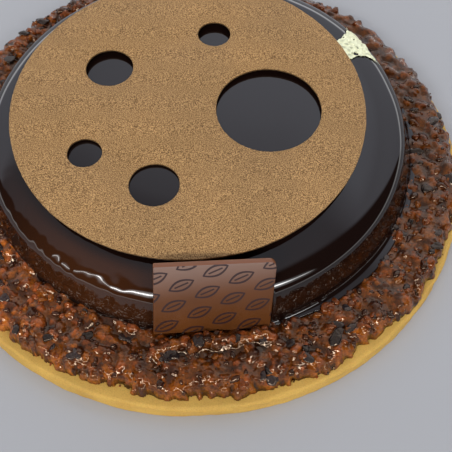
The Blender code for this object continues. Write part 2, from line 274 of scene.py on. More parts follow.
def smoothstep(low, high, value):
    """0 below low, 1 above high and the cubic 3t^2 - 2t^3 between."""
    t = np.clip((value - low) / (high - low), 0, 1)
    return t * t * (3 - 2 * t)


def bump(angle, centre, spread):
    """A bell, exp(-(angle off centre / spread)^2), taken the short way round. The angle is in
    radians, its centre and spread in degrees."""
    away = (angle - math.radians(centre) + np.pi) % TAU - np.pi
    return np.exp(-(away / math.radians(spread)) ** 2)


def waves(x, y, length, seed, count=18):
    """Smooth noise of about unit strength: plane waves of one length summed in seeded directions."""
    draw = np.random.default_rng(seed)
    total = np.zeros_like(x)
    for _ in range(count):
        turn = draw.uniform(0, TAU)
        pace = TAU / (length * draw.uniform(0.7, 1.5))
        total += np.sin(pace * (x * np.cos(turn) + y * np.sin(turn)) + draw.uniform(0, TAU))
    return total / math.sqrt(count / 2)


def grid_quads(columns, rows, wrap):
    """Corner numbers of the quads of a grid whose point (i, j) has number i * rows + j."""
    i = np.arange(columns if wrap else columns - 1)
    j = np.arange(rows - 1)
    i, j = (part.ravel() for part in np.meshgrid(i, j, indexing="ij"))
    after = (i + 1) % columns
    return np.stack([i * rows + j, i * rows + j + 1, after * rows + j + 1, after * rows + j], axis=1)


def round_points(radius, angle, height, centre=(0.0, 0.0)):
    """Points at these radii, angles and heights round an upright axis through the centre."""
    x, y = radius * np.cos(angle) + centre[0], radius * np.sin(angle) + centre[1]
    return np.stack(np.broadcast_arrays(x, y, height), -1)


def moved(points, matrix):
    """The points carried by a four by four matrix."""
    matrix = np.array(matrix)
    return points @ matrix[:3, :3].T + matrix[:3, 3]


def add_piece(name, points, faces, material, node=None):
    """Make the mesh object, let it ride on the root body and hide the part it stands in for."""
    mesh = bpy.data.meshes.new(name)
    mesh.from_pydata(np.asarray(points, float).reshape(-1, 3).tolist(), [],
                     [list(map(int, face)) for face in faces])
    mesh.materials.append(material)
    mesh.shade_smooth()
    piece = bpy.data.objects.new(name, mesh)
    bpy.context.scene.collection.objects.link(piece)
    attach(piece, "root")
    if node:
        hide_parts(node)
    return piece


def add_round(name, rings, top, bottom, material, node=None):
    """A closed body from rings[angle, ring] of points, with a pole above and a pole below."""
    columns, rows = rings.shape[:2]
    quads = grid_quads(columns, rows, wrap=True)
    first = np.arange(columns) * rows
    following = np.roll(first, -1)
    north, south = columns * rows, columns * rows + 1
    caps = [(north, a, b) for a, b in zip(first, following)]
    caps += [(south, b + rows - 1, a + rows - 1) for a, b in zip(first, following)]
    points = np.concatenate([rings.reshape(-1, 3), [top, bottom]])
    return add_piece(name, points, list(quads) + caps, material, node)


def paint(piece, name, values):
    """Store one colour or one number for each point of a piece."""
    values = np.asarray(values, np.float32)
    if values.ndim == 1:
        layer = piece.data.attributes.new(name, "FLOAT", "POINT")
        layer.data.foreach_set("value", values)
        return
    layer = piece.data.color_attributes.new(name, "FLOAT_COLOR", "POINT")
    alpha = np.ones((len(values), 1), np.float32)
    layer.data.foreach_set("color", np.hstack([values, alpha]).ravel())


# Material helpers

class Wire:
    """A shader node's output. Plain arithmetic on it adds maths nodes to its tree."""

    def __init__(self, socket):
        self.socket = socket

    def to(self, operation, *others):
        made = node(self.socket.id_data, "ShaderNodeMath", operation=operation)
        for entry, value in zip(made.inputs, (self, *others)):
            feed(entry, value)
        return Wire(made.outputs[0])

    def __add__(self, other):
        return self.to("ADD", other)

    def __sub__(self, other):
        return self.to("SUBTRACT", other)

    def __mul__(self, other):
        return self.to("MULTIPLY", other)

    def __truediv__(self, other):
        return self.to("DIVIDE", other)

    def __abs__(self):
        return self.to("ABSOLUTE")


def feed(entry, value):
    """Link a wire into a node's input, or set the input to a plain value."""
    if isinstance(value, Wire):
        entry.id_data.links.new(value.socket, entry)
    else:
        entry.default_value = value


def node(tree, kind, inputs=None, **settings):
    """Add a shader node, set its fields, and set or link its inputs."""
    made = tree.nodes.new(kind)
    for key, value in settings.items():
        setattr(made, key, value)
    for key, value in (inputs or {}).items():
        feed(made.inputs[key], value)
    return made


def wire(tree, kind, output=0, inputs=None, **settings):
    """One output of a new node."""
    return Wire(node(tree, kind, inputs, **settings).outputs[output])


def finish_material(name, inputs):
    """A Principled material with these inputs set or linked; inputs may be a function of its tree."""
    material = bpy.data.materials.new(name)
    material.use_nodes = True
    tree = material.node_tree
    for key, value in (inputs(tree) if callable(inputs) else inputs).items():
        feed(tree.nodes["Principled BSDF"].inputs[key], value)
    return material


def rgba(colour):
    return (colour[0], colour[1], colour[2], 1.0)


def noise(tree, size, detail=2.0, roughness=0.5):
    """Noise on object coordinates, with features of about this size."""
    return wire(tree, "ShaderNodeTexNoise", "Fac", {
        "Vector": wire(tree, "ShaderNodeTexCoord", "Object"), "Scale": 1 / size,
        "Detail": detail, "Roughness": roughness})


def ramp(tree, value, stops):
    """A colour ramp from (place, colour) stops."""
    made = node(tree, "ShaderNodeValToRGB", {"Fac": value})
    line = made.color_ramp.elements
    while len(line) < len(stops):
        line.new(1.0)
    for element, (place, colour) in zip(line, stops):
        element.position = place
        element.color = rgba(colour)
    return Wire(made.outputs["Color"])


def mix(tree, share, first, second, blend="MIX"):
    """Two colours, wires or plain ones, blended by a share of the second."""
    made = node(tree, "ShaderNodeMix", {0: share}, data_type="RGBA", blend_type=blend)
    for index, value in ((6, first), (7, second)):
        feed(made.inputs[index], value if isinstance(value, Wire) else rgba(value))
    return Wire(made.outputs[2])


def ease(tree, value, low, high, start=0.0, end=1.0):
    """The smoothstep curve from start at low to end at high."""
    return wire(tree, "ShaderNodeMapRange", "Result", {
        "Value": value, "From Min": low, "From Max": high, "To Min": start, "To Max": end},
        interpolation_type="SMOOTHSTEP")


def bumped(tree, height, depth, strength=1.0):
    return wire(tree, "ShaderNodeBump", "Normal", {
        "Height": height, "Distance": depth, "Strength": strength})


def attribute(tree, name, output="Fac"):
    return wire(tree, "ShaderNodeAttribute", output, attribute_name=name)


# Shortbread

def shortbread_material():
    c = colours()

    def inputs(tree):
        broad = ramp(tree, noise(tree, 14 * MM, detail=3), ((0.38, BLACK), (0.72, WHITE)))
        crumb = noise(tree, 0.5 * MM, detail=3, roughness=0.7)
        tone = mix(tree, broad, c.biscuit, [0.86 * part for part in c.biscuit])
        tone = mix(tree, attribute(tree, "browning_and_dark_foot"), tone, c.biscuit_brown)
        shade = ramp(tree, crumb, ((0.25, (0.80, 0.76, 0.70)), (0.55, WHITE), (0.8, (1.08, 1.08, 1.1))))
        tone = mix(tree, 1.0, tone, shade, "MULTIPLY")
        pores = wire(tree, "ShaderNodeTexVoronoi", "Distance", {
            "Vector": wire(tree, "ShaderNodeTexCoord", "Object"), "Scale": 1 / (1.8 * MM)})
        pit = ramp(tree, pores, ((0.0, BLACK), (0.16, WHITE)))
        return {"Base Color": tone, "Roughness": 0.72, "Specular IOR Level": 0.35,
                "Subsurface Weight": 0.12, "Subsurface Radius": (1.0, 0.45, 0.15),
                "Subsurface Scale": 0.8 * MM,
                "Normal": bumped(tree, pit * 0.5 + crumb, 0.22 * MM, 0.8)}

    return finish_material("shortbread", inputs)


def make_shortbread():
    """Rings down a rounded disc: top, quarter-round edge, side and lower edge, each radius drawn
    in by slow waves, and the upper part sunk a little by more waves towards the edge."""
    angles = np.linspace(0, TAU, 640, endpoint=False)[:, None]
    flat = [(r, BASE_TOP) for r in np.linspace(0.2, 0.94, 10) * BASE_RADIUS]
    turn = np.radians(np.linspace(90, 0, 12))
    top = np.stack([BASE_RADIUS - BASE_EDGE * (1 - np.cos(turn)),
                    BASE_TOP - BASE_EDGE * (1 - np.sin(turn))], 1)
    side = [(BASE_RADIUS, z) for z in np.linspace(BASE_TOP - BASE_EDGE, BASE_LOWER_EDGE, 10)[1:-1]]
    turn = np.radians(np.linspace(0, -90, 7))
    low = np.stack([BASE_RADIUS - BASE_LOWER_EDGE * (1 - np.cos(turn)),
                    BASE_LOWER_EDGE * (1 + np.sin(turn))], 1)
    under = [(0.9 * BASE_RADIUS, 0), (0.4 * BASE_RADIUS, 0)]
    radius, height = np.array([*flat, *top, *side, *low, *under]).T[:, None]
    x, y = radius * np.cos(angles), radius * np.sin(angles)
    outer = smoothstep(0.9 * BASE_RADIUS, BASE_RADIUS, radius)
    across = y + height * 3
    wobble = 0.16 * MM * waves(x, across, 22 * MM, 11) + 0.06 * MM * waves(x, across, 5 * MM, 12)
    radius = radius + outer * (np.minimum(wobble, 0.25 * MM) - 0.25 * MM)
    sink = smoothstep(0.3 * BASE_TOP, BASE_TOP, height) * outer * 0.12 * MM
    height = height - sink * (1 + waves(x, y, 9 * MM, 13)) * 0.5
    piece = add_round("shortbread_disc", round_points(radius, angles, height), (0, 0, BASE_TOP),
                      (0, 0, 0), shortbread_material(), "shortbread_base")
    # Browner in slow patches near the edge, and darker towards the bottom of the side
    low_down = 1 - smoothstep(0, 0.3 * BASE_TOP, height)
    browning_and_dark_foot = np.clip(0.4 * low_down + 0.12 * waves(x, y, 18 * MM, 14) * outer, 0, 1) * 0.7
    paint(piece, "browning_and_dark_foot", np.append(browning_and_dark_foot.ravel(), (0, 0)))


# Nib layer

def ray_to_foot(angle, radius):
    """Distance from the base's centre, along each angle, to a circle about the cake's centre."""
    along = CAKE_CENTRE[0] * np.cos(angle) + CAKE_CENTRE[1] * np.sin(angle)
    return along + np.sqrt(radius ** 2 - CAKE_CENTRE @ CAKE_CENTRE + along ** 2)


def layer_reach(angle):
    """The layer's uneven outline: a mean radius, a lean to one side, a few sine waves and bells
    where it runs out or stops short."""
    reach = LAYER_RADIUS + LAYER_LEAN * np.cos(angle - LAYER_LEAN_ANGLE)
    reach = reach + sum(depth * bump(angle, at, spread) for at, spread, depth in LAYER_RUNS)
    for number, (count, depth) in enumerate(LAYER_WAVES):
        reach = reach + depth * np.sin(count * angle + 1.7 * number)
    return reach


def ring_height(x, y):
    """Height of the caramel: rising outwards to bell-shaped heaps, banked up against the cake's
    foot at the left and hollowed under the puddle at the right, each by a bell round the cake
    times a smoothstep inwards."""
    from_cake = np.hypot(x - CAKE_CENTRE[0], y - CAKE_CENTRE[1])
    angle = np.arctan2(y, x)
    rise = RING_RISE + sum(height * bump(angle, at, spread) for at, spread, height in HEAPS)
    bank = BANK_HEIGHT * bump(angle, *BANK)
    bank = bank * (1 - smoothstep(RING_START - 5 * MM, RING_START + 3 * MM, from_cake))
    bank = bank - PUDDLE_HOLLOW * bump(angle, *PUDDLE) * (1 - smoothstep(90 * MM, 93 * MM, from_cake))
    return LAYER_TOP + bank + rise * smoothstep(RING_START - 3 * MM, RING_START + 8 * MM, from_cake)


def base_surface(radius):
    """Height of the shortbread's top, with its quarter-round edge."""
    past = np.clip(radius - (BASE_RADIUS - BASE_EDGE), 0, BASE_EDGE)
    return BASE_TOP - BASE_EDGE + np.sqrt(BASE_EDGE ** 2 - past ** 2)


class Bed:
    """The nib layer as a height above each point of a ring-shaped grid, with a colour there."""

    columns, rows = 1180, 76

    def __init__(self):
        """Caramel alone, falling over a quarter circle at its ragged outline to below the
        shortbread's top, and piled up by a bell in front of the plaque's foot."""
        self.angle = np.linspace(0, TAU, self.columns, endpoint=False)
        self.inner = ray_to_foot(self.angle, BED_START)
        share = np.linspace(0, 1, self.rows)
        self.radius = self.inner[:, None] + (LAYER_LIMIT - self.inner)[:, None] * share
        self.x = self.radius * np.cos(self.angle[:, None])
        self.y = self.radius * np.sin(self.angle[:, None])
        reach = layer_reach(self.angle)[:, None] + 0.4 * MM * waves(self.x, self.y, 4 * MM, 21)
        reach = reach + 0.55 * MM * waves(self.x, self.y, 9 * MM, 830)
        level = ring_height(self.x, self.y) + 0.45 * MM * waves(self.x, self.y, 9 * MM, 22)
        local = beside_plaque(np.stack([self.x, self.y, level], -1))
        pile = np.exp(-((local[..., 1] + 2.6 * MM) / (2.5 * MM)) ** 2)
        half = PLAQUE_WIDTH / 2
        pile *= 1 - smoothstep(half - 1 * MM, half + 4 * MM, np.abs(local[..., 0]))
        level = level + PLAQUE_PILE * pile
        self.edge = np.clip((reach - 0.3 * MM - self.radius) / LAYER_SLOPE, 0, 1)
        buried = base_surface(self.radius) - LAYER_BURIED
        self.height = buried + (level - buried) * np.sqrt(1 - (1 - self.edge) ** 2)
        self.floor = self.height.copy()
        c = colours()
        depth = smoothstep(-1.2, 1.2, waves(self.x, self.y, 7 * MM, 23))[..., None]
        paler = 0.25 * (1 - smoothstep(0.05, 0.45, self.edge))[..., None]
        caramel = np.array(c.caramel_dark) * depth + np.array(c.caramel) * (1 - depth)
        self.caramel = caramel * (1 - paler) + np.array(c.caramel_thin) * paler
        self.colour = self.caramel.copy()

    def index(self, angle, radius):
        """Nearest grid place to an angle and a radius."""
        i = np.round(angle / TAU * self.columns).astype(int) % self.columns
        share = (radius - self.inner[i]) / (LAYER_LIMIT - self.inner[i])
        return i, np.clip(np.round(share * (self.rows - 1)).astype(int), 0, self.rows - 1)

    def stamp(self, angle, radius, size, sides, slope, proud, colour):
        """Press one chip into the layer: a tilted top falling off as 0.15 q^2 + 0.6 q^5, where q
        is the share of the way to its rounded outline (the 5-norm of five cutting lines)."""
        i, j = self.index(angle, radius)
        across = int(1.4 * size / (TAU * radius / self.columns)) + 1
        down = int(1.4 * size / ((LAYER_LIMIT - self.inner[i]) / (self.rows - 1))) + 1
        part = np.ix_(np.arange(i - across, i + across + 1) % self.columns,
                      np.arange(max(j - down, 0), min(j + down + 1, self.rows)))
        dx = (self.x[part] - radius * math.cos(angle)) / size
        dy = (self.y[part] - radius * math.sin(angle)) / size
        past = np.maximum(dx[..., None] * sides[0] + dy[..., None] * sides[1], 0)
        reach = np.sum(past ** 5, axis=-1) ** 0.2
        top = self.floor[i, j] + proud + size * (slope[0] * dx + slope[1] * dy)
        chip = top - size * (0.15 * reach ** 2 + 0.6 * reach ** 5)
        above = (chip > self.height[part]) & (reach < 1.2)
        self.height[part] = np.where(above, chip, self.height[part])
        shade = (1.15 - 0.4 * np.clip(reach, 0, 1))[..., None]
        self.colour[part] = np.where(above[..., None], colour * shade, self.colour[part])

    def clear_plaque(self):
        """Keep the layer below the plaque's foot wherever the plaque stands over it."""
        local = beside_plaque(np.stack([self.x, self.y, self.height], -1))
        over = (np.abs(local[..., 0]) < PLAQUE_WIDTH / 2 + 0.6 * MM) & (local[..., 1] > -0.5 * MM)
        self.height = np.where(over, np.minimum(self.height, PLAQUE_FOOT.z - 0.3 * MM), self.height)

    def pour(self, sunk, meniscus):
        """Fill between the chips with caramel. Its level is the blurred chips less a depth, and
        higher where the ring is wet. The two are joined by the smooth maximum
        (d + sqrt(d^2 + m^2)) / 2, which leaves a concave meniscus of width m where they meet.
        Hollows are darkened by their depth below the level around them as painted shade, and rises are
        lightened as painted light."""
        wet = wetness(self.angle)[:, None]
        level = blurred(blurred(self.height, 0, 7), 1, 20) - sunk + POOL_DEPTH * wet
        over = self.height - level
        root = np.sqrt(over ** 2 + meniscus ** 2)
        inside = smoothstep(0.0, 0.4, self.edge)
        share = (1 + over / root)[..., None] / 2 * inside[..., None] + 1 - inside[..., None]
        share = 0.3 + 0.7 * share
        self.height = inside * (level + (over + root) / 2) + (1 - inside) * self.height
        self.colour = share * self.colour + (1 - share) * self.caramel
        # Painted shade in the hollows and painted light on the rises, by height against the blurred
        # surface
        hollow = self.height - blurred(blurred(self.height, 0, 12), 1, 30)
        self.colour *= np.clip(1 + hollow / (0.6 * MM), 0.22, 1.45)[..., None]
        self.colour *= side_brightness(self.angle)[:, None, None]


def blurred(values, axis, passes):
    """Average with both neighbours along one axis, again and again: axis 0 closes on itself."""
    for _ in range(passes):
        before, after = np.roll(values, 1, axis), np.roll(values, -1, axis)
        if axis == 1:
            before[:, 0], after[:, -1] = values[:, 0], values[:, -1]
        values = 0.5 * values + 0.25 * (before + after)
    return values


def wetness(angle):
    """1 at the right of the ring, where caramel stands in pools, falling to 0 as a bell."""
    return bump(angle, *POOL)


def side_brightness(angle):
    """Brightness of the nibs round the ring: a bell of lighter ones and a bell of darker ones."""
    return 1 + LIGHTER * bump(angle, *LIGHT_SIDE) - DARKER * bump(angle, *DARK_SIDE)


def nut_tones(draw, count):
    """A colour for each piece, between roasted nut, dark nut and clear caramel."""
    c = colours()
    tones = np.array((c.nut, c.nut, c.nut_dark, c.caramel, c.caramel_dark))
    picked = tones[draw.integers(0, len(tones), count)]
    return picked * draw.uniform(0.65, 1.3, (count, 1))


def random_sides(draw, count):
    """Five outward directions at uneven angles and distances, which bound a chip's outline."""
    turn = draw.uniform(0, TAU) + np.arange(count) * TAU / count + draw.uniform(-0.35, 0.35, count)
    reach = draw.uniform(0.62, 1.0, count)
    return np.cos(turn) / reach, np.sin(turn) / reach


def build_bed():
    """Stamp seeded chips into the caramel, the least proud first, smaller and lower towards the
    outline and drawn in from it by their size, then pour caramel between them."""
    bed = Bed()
    s = sizes()
    draw = np.random.default_rng(31)
    count = s.lump_count
    angle = draw.uniform(0, TAU, count)
    low = bed.inner[bed.index(angle, LAYER_LIMIT)[0]]
    high = np.minimum(layer_reach(angle), LAYER_LIMIT) - CHIP_MARGIN
    radius = np.sqrt(draw.uniform(0, 1, count) * (high ** 2 - low ** 2) + low ** 2)
    thinning = 0.62 + 0.38 * smoothstep(0, 6 * MM, high - radius)
    finer = 1 - FINER * bump(angle, *FINE_SIDE)
    size = s.lump_size * thinning * finer * draw.lognormal(0, 0.32, count)
    size = np.minimum(size, 1.5 * s.lump_size)
    radius = np.minimum(radius, high + CHIP_MARGIN - 0.9 * size)
    slope = draw.normal(0, 0.36, (count, 2))
    proud = size * thinning * draw.uniform(0.1, 0.8, count)
    tones = nut_tones(draw, count)
    for number in np.argsort(proud):
        bed.stamp(angle[number], radius[number], size[number], random_sides(draw, 5),
                  slope[number], proud[number], tones[number])
    bed.pour(-0.3 * MM, 0.8 * MM)
    bed.clear_plaque()
    return bed


def praline_material():
    def inputs(tree):
        mottle = noise(tree, 0.9 * MM, detail=3, roughness=0.6)
        shade = ramp(tree, mottle, ((0.30, (0.5, 0.45, 0.45)), (0.55, WHITE), (0.8, (1.6, 1.5, 1.3))))
        tone = mix(tree, 1.0, attribute(tree, "tint", "Color"), shade, "MULTIPLY")
        lively = attribute(tree, "still") * -0.5 + 0.8
        return {"Base Color": tone, "Roughness": 0.04, "IOR": 1.5, "Specular IOR Level": 0.66,
                "Specular Tint": (1.0, 0.76, 0.55, 1.0), "Subsurface Weight": 0.15,
                "Subsurface Radius": (1.0, 0.3, 0.08), "Subsurface Scale": 0.9 * MM,
                "Normal": bumped(tree, noise(tree, 2.0 * MM, detail=1), 0.5 * MM, lively)}

    return finish_material("wet_praline", inputs)


def make_bed(bed):
    """The grid's heights as a closed body, run in to the middle above and below."""
    angle = bed.angle[:, None]
    inner = round_points(bed.inner[:, None] * (0.35, 0.7, 0.92), angle, LAYER_TOP)
    top = np.stack([bed.x, bed.y, bed.height], -1)
    depth = np.array((1.6, 1.2, 1.2)) * MM
    under = round_points(np.array((1, 0.9, 0.4)) * LAYER_LIMIT, angle, BASE_TOP - depth)
    rings = np.concatenate([inner, top, under], axis=1)
    piece = add_round("nib_bed", rings, (0, 0, LAYER_TOP), (0, 0, BASE_TOP - depth[-1]),
                      praline_material(), "praline_layer")
    tint = np.zeros(rings.shape) + colours().caramel_dark
    tint[:, inner.shape[1]:-under.shape[1]] = bed.colour
    paint(piece, "tint", np.concatenate([tint.reshape(-1, 3), tint[:2, 0]]))
    paint(piece, "still", np.append(np.repeat(wetness(bed.angle), rings.shape[1]), (0, 0)))


# Loose pieces on the nib layer

def icosahedron():
    """The twelve corners (0, 1, g), (1, g, 0), (g, 0, 1) with all signs, and the twenty faces."""
    g = (1 + math.sqrt(5)) / 2
    corners = np.array([(-1, g, 0), (1, g, 0), (-1, -g, 0), (1, -g, 0), (0, -1, g), (0, 1, g),
                        (0, -1, -g), (0, 1, -g), (g, 0, -1), (g, 0, 1), (-g, 0, -1), (-g, 0, 1)])
    edge = 2.01
    faces = [(a, b, c) for a in range(12) for b in range(a + 1, 12) for c in range(b + 1, 12)
             if max(np.linalg.norm(corners[p] - corners[q]) for p, q in ((a, b), (b, c), (a, c))) < edge]
    return corners / np.linalg.norm(corners, axis=1)[:, None], outward(corners, np.array(faces))


def outward(points, faces):
    """Turn each face of a ball round the origin so that it points away from it."""
    a, b, c = (points[faces[:, k]] for k in range(3))
    inside = np.einsum("ij,ij->i", np.cross(b - a, c - a), a) < 0
    faces[inside] = faces[inside][:, ::-1]
    return faces


def ball(steps):
    """An icosahedron whose faces are split in four, steps times, and pushed out to a sphere."""
    points, faces = icosahedron()
    for _ in range(steps):
        edges = np.sort(np.concatenate([faces[:, [0, 1]], faces[:, [1, 2]], faces[:, [2, 0]]]), axis=1)
        unique, number = np.unique(edges, axis=0, return_inverse=True)
        middle = points[unique].mean(axis=1)
        middle /= np.linalg.norm(middle, axis=1)[:, None]
        ab, bc, ca = (number.ravel() + len(points)).reshape(3, -1)
        a, b, c = faces.T
        faces = np.concatenate([np.stack(t, 1) for t in
                                ((a, ab, ca), (b, bc, ab), (c, ca, bc), (ab, bc, ca))])
        points = np.concatenate([points, middle])
    return points, faces


def turns(draw, count, tip):
    """Rotation matrices: any turn about Z after a tip of about this angle about X and Y."""
    spin = draw.uniform(0, TAU, count)
    a, b = draw.normal(0, tip, count), draw.normal(0, tip, count)
    zero, one = np.zeros(count), np.ones(count)
    about_x = np.array([[one, zero, zero], [zero, np.cos(a), -np.sin(a)], [zero, np.sin(a), np.cos(a)]])
    about_y = np.array([[np.cos(b), zero, np.sin(b)], [zero, one, zero], [-np.sin(b), zero, np.cos(b)]])
    about_z = np.array([[np.cos(spin), -np.sin(spin), zero], [np.sin(spin), np.cos(spin), zero],
                        [zero, zero, one]])
    return np.einsum("ijn,jkn,kln->nil", about_z, about_y, about_x)


def chunks(draw, directions, size, stretch, cuts, tip):
    """Chopped pieces: each direction's reach is the nearest of some seeded cutting planes, made
    uneven by four sine waves, then the piece is stretched along its three axes and turned."""
    count = len(size)
    normals = draw.normal(0, 1, (count, cuts, 3))
    normals /= np.linalg.norm(normals, axis=2)[..., None]
    depth = draw.uniform(0.55, 0.95, (count, cuts))
    facing = np.maximum(np.einsum("ncd,vd->nvc", normals, directions), 0.05)
    reach = np.minimum((depth[:, None, :] / facing).min(axis=2), 1.0)
    ways = draw.normal(0, 2.6, (count, 4, 3))
    lumps = np.sin(np.einsum("nkd,vd->nvk", ways, directions) + draw.uniform(0, TAU, (count, 1, 4)))
    reach = reach * (1 + 0.09 * lumps.sum(axis=2))
    points = directions[None] * reach[..., None] * size[:, None, None]
    points *= np.array(stretch) * draw.uniform(0.8, 1.2, (count, 1, 3))
    return np.einsum("nij,nvj->nvi", turns(draw, count, tip), points)


def plaque_matrix():
    lean = Matrix.Rotation(-PLAQUE_LEAN, 4, "X")
    turn = Matrix.Rotation(PLAQUE_TURN, 4, "Z")
    spin = Matrix.Rotation(PLAQUE_SPIN, 4, "Y")
    return Matrix.Translation(PLAQUE_FOOT) @ turn @ lean @ spin


def beside_plaque(points):
    """Each point in the plaque's own axes: across, into the cake and up its face."""
    return moved(points, plaque_matrix().inverted())


def scatter(draw, bed, kind, count, size):
    """Seeded places over the ring, on the layer's surface, clear of the cake and the plaque. The
    first piece's size sets how far all of them keep in from the outline."""
    angle = draw.uniform(0, TAU, 3 * count)
    low = ray_to_foot(angle, side_radius(FOOT_TOP) + 0.8 * foot_lip(angle) + 0.3 * MM)
    high = np.minimum(layer_reach(angle) + kind.edge - 0.7 * size[0], LAYER_LIMIT)
    radius = np.sqrt(draw.uniform(0, 1, 3 * count) * (high ** 2 - low ** 2) + low ** 2)
    height = np.maximum(bed.height[bed.index(angle, radius)], base_surface(radius))
    places = round_points(radius, angle, height)
    local = beside_plaque(places)
    clear = (np.abs(local[:, 0]) > PLAQUE_WIDTH / 2 + size) | (local[:, 1] < -0.9 * size)
    clear &= draw.uniform(0, 1, 3 * count) > 0.85 * wetness(angle)
    kept = np.flatnonzero(clear)[:count]
    places[:, 2] += kind.sink * size
    return places[kept], size[kept]


def make_loose(bed, kind, count, size, tones):
    """One joined mesh of one kind of loose piece, each with its own tone."""
    draw = np.random.default_rng(kind.seed)
    spread = size * draw.lognormal(0, 0.28, 3 * count)
    places, spread = scatter(draw, bed, kind, count, spread)
    directions, faces = ball(kind.steps)
    points = chunks(draw, directions, spread, kind.stretch, kind.cuts, kind.tip) + places[:, None, :]
    shift = (np.arange(len(places)) * len(directions))[:, None, None]
    piece = add_piece(kind.name, points, (faces[None] + shift).reshape(-1, 3),
                      praline_material())
    colour = tones(draw, len(places)) * side_brightness(np.arctan2(places[:, 1], places[:, 0]))[:, None]
    paint(piece, "tint", np.repeat(colour, len(directions), axis=0))


def shard_tones(draw, count):
    shard = np.array(colours().shard)
    return shard * draw.uniform(0.5, 2.2, (count, 1))


# Glaze

def shoulder(turn):
    """Radius and height on the elliptical shoulder, turn 0 at the flat top."""
    return FLAT_RADIUS + SHOULDER_REACH * np.sin(turn), CAKE_TOP - SHOULDER_DROP * (1 - np.cos(turn))


def side_radius(height):
    """The cone that carries on from the shoulder's end down to the foot."""
    radius, start = shoulder(SHOULDER_END)
    return radius + (start - height) * math.tan(SIDE_LEAN)


def foot_lip(angle):
    """How far the run glaze spreads past the side: sine waves and two bells, less where the nib
    layer is banked up over it."""
    ripple = 0.3 * np.sin(3 * angle + 1) + 0.25 * np.sin(7 * angle) + 0.2 * np.sin(12 * angle + 2)
    puddle = RUN_WIDTH * bump(angle, *RUN) + PUDDLE_WIDTH * bump(angle, *PUDDLE)
    fine = 0.25 * np.sin(19 * angle + 2) + 0.2 * np.sin(31 * angle)
    return (1.0 + ripple + puddle + fine * 0.6) * (1 - 0.9 * bump(angle, *BANK)) * MM


def glaze_material():
    c = colours()

    def inputs(tree):
        height = noise(tree, 30 * MM, detail=1) + noise(tree, 2.2 * MM, detail=2) * 0.02
        # Base colour mixed towards the painted glow by its painted share
        return {"Base Color": mix(tree, attribute(tree, "paler"), c.glaze, c.glaze_painted_glow),
                "Roughness": 0.025, "IOR": 1.5, "Normal": bumped(tree, height, 0.15 * MM, 0.5)}

    return finish_material("mirror_glaze", inputs)


def press_seat(points):
    """Move the glaze behind the plaque back to the plaque's rear face, fading out at its edges."""
    local = beside_plaque(points)
    within = 1 - smoothstep(PLAQUE_WIDTH / 2, PLAQUE_WIDTH / 2 + 1.2 * MM, np.abs(local[..., 0]))
    within *= 1 - smoothstep(PLAQUE_LENGTH - 1 * MM, PLAQUE_LENGTH, local[..., 2])
    seat = PLAQUE_THICKNESS - 0.15 * MM
    near = (local[..., 1] < seat) & (local[..., 1] > -25 * MM)
    shift = np.where(near, (seat - local[..., 1]) * within, 0)
    inward = np.array(plaque_matrix())[:3, 1]
    return points + shift[..., None] * inward


def make_glaze():
    """Rings down the cake: flat top, ellipse, cone, then a concave quarter-ellipse out to the
    lip of run glaze; slow waves move the skin along its radius and height, and a smoothstep
    raises the top where the pierced disc lies on it."""
    angles = np.linspace(0, TAU, 860, endpoint=False)[:, None]
    flat = np.stack([np.linspace(4, 57, 36) * MM, np.full(36, CAKE_TOP)], 1)
    curve = np.stack(shoulder(np.linspace(0, SHOULDER_END, 46)), 1)
    heights = np.linspace(curve[-1, 1], FOOT_TOP, 16)[1:]
    side = np.stack([side_radius(heights), heights], 1)
    upper = np.concatenate([flat, curve, side]).T
    quarter = np.linspace(0, np.pi / 2, 11)[1:]
    out = side_radius(FOOT_TOP) + (foot_lip(angles) + 1.0 * MM) * (1 - np.cos(quarter))
    down = FOOT_TOP - (FOOT_TOP - LIP_HEIGHT) * np.sin(quarter)
    over = np.linspace(0, np.pi / 2, 6)[1:]
    out_end = out[:, -1:] + 0.5 * MM * np.sin(over)
    down_end = down[-1] - (LIP_HEIGHT - FOOT_BOTTOM) * (1 - np.cos(over))
    shape = (len(angles), upper.shape[1])
    radius = np.concatenate([np.broadcast_to(upper[0], shape), out, out_end,
                             np.full_like(angles, 60 * MM)], 1)
    height = np.concatenate([upper[1], down, down_end, (FOOT_BOTTOM,)])[None]
    x, y = radius * np.cos(angles), radius * np.sin(angles)
    s = sizes()
    on_shoulder = smoothstep(FLAT_RADIUS, FLAT_RADIUS + 18 * MM, radius) * (height > FOOT_BOTTOM)
    band = np.exp(-((height - RIPPLE_HEIGHT) / RIPPLE_BAND) ** 2)
    rippled = waves(x, y, 13 * MM, 43) + 0.3 * waves(x, y, 5 * MM, 44)
    ripple = (s.glaze_wave * waves(x, y, 26 * MM, 41)
              + s.rim_ripple * bump(angles, *RIPPLE) * band * rippled)
    radius = radius + on_shoulder * ripple
    height = height + on_shoulder * ripple * 0.7
    height += np.where(height > FOOT_TOP, TOP_RISE * (1 - smoothstep(44 * MM, 71 * MM, radius)), 0)
    rings = press_seat(round_points(radius, angles, height, CAKE_CENTRE))
    piece = add_round("mirror_glaze", rings, (*CAKE_CENTRE, CAKE_TOP + TOP_RISE),
                      (*CAKE_CENTRE, FOOT_BOTTOM), glaze_material(), "glazed_cake")
    # Painted glow: a bell at the front left of the shoulder standing for light shining through the glaze,
    # left out next to the disc's edge where shade falls; the side wall gets a little of it all round, and
    # the foot none
    paler = bump(angles, *PAINTED_GLOW) * smoothstep(71 * MM, 77 * MM, radius)
    wall = 0.3 * smoothstep(CAKE_TOP - 8 * MM, CAKE_TOP - 12 * MM, height)
    low = smoothstep(FOOT_TOP - 1 * MM, FOOT_TOP + 3 * MM, height)
    paint(piece, "paler", np.append((np.maximum(paler, wall) * low).ravel(), (0, 0)))


# Flat pieces with rounded edges

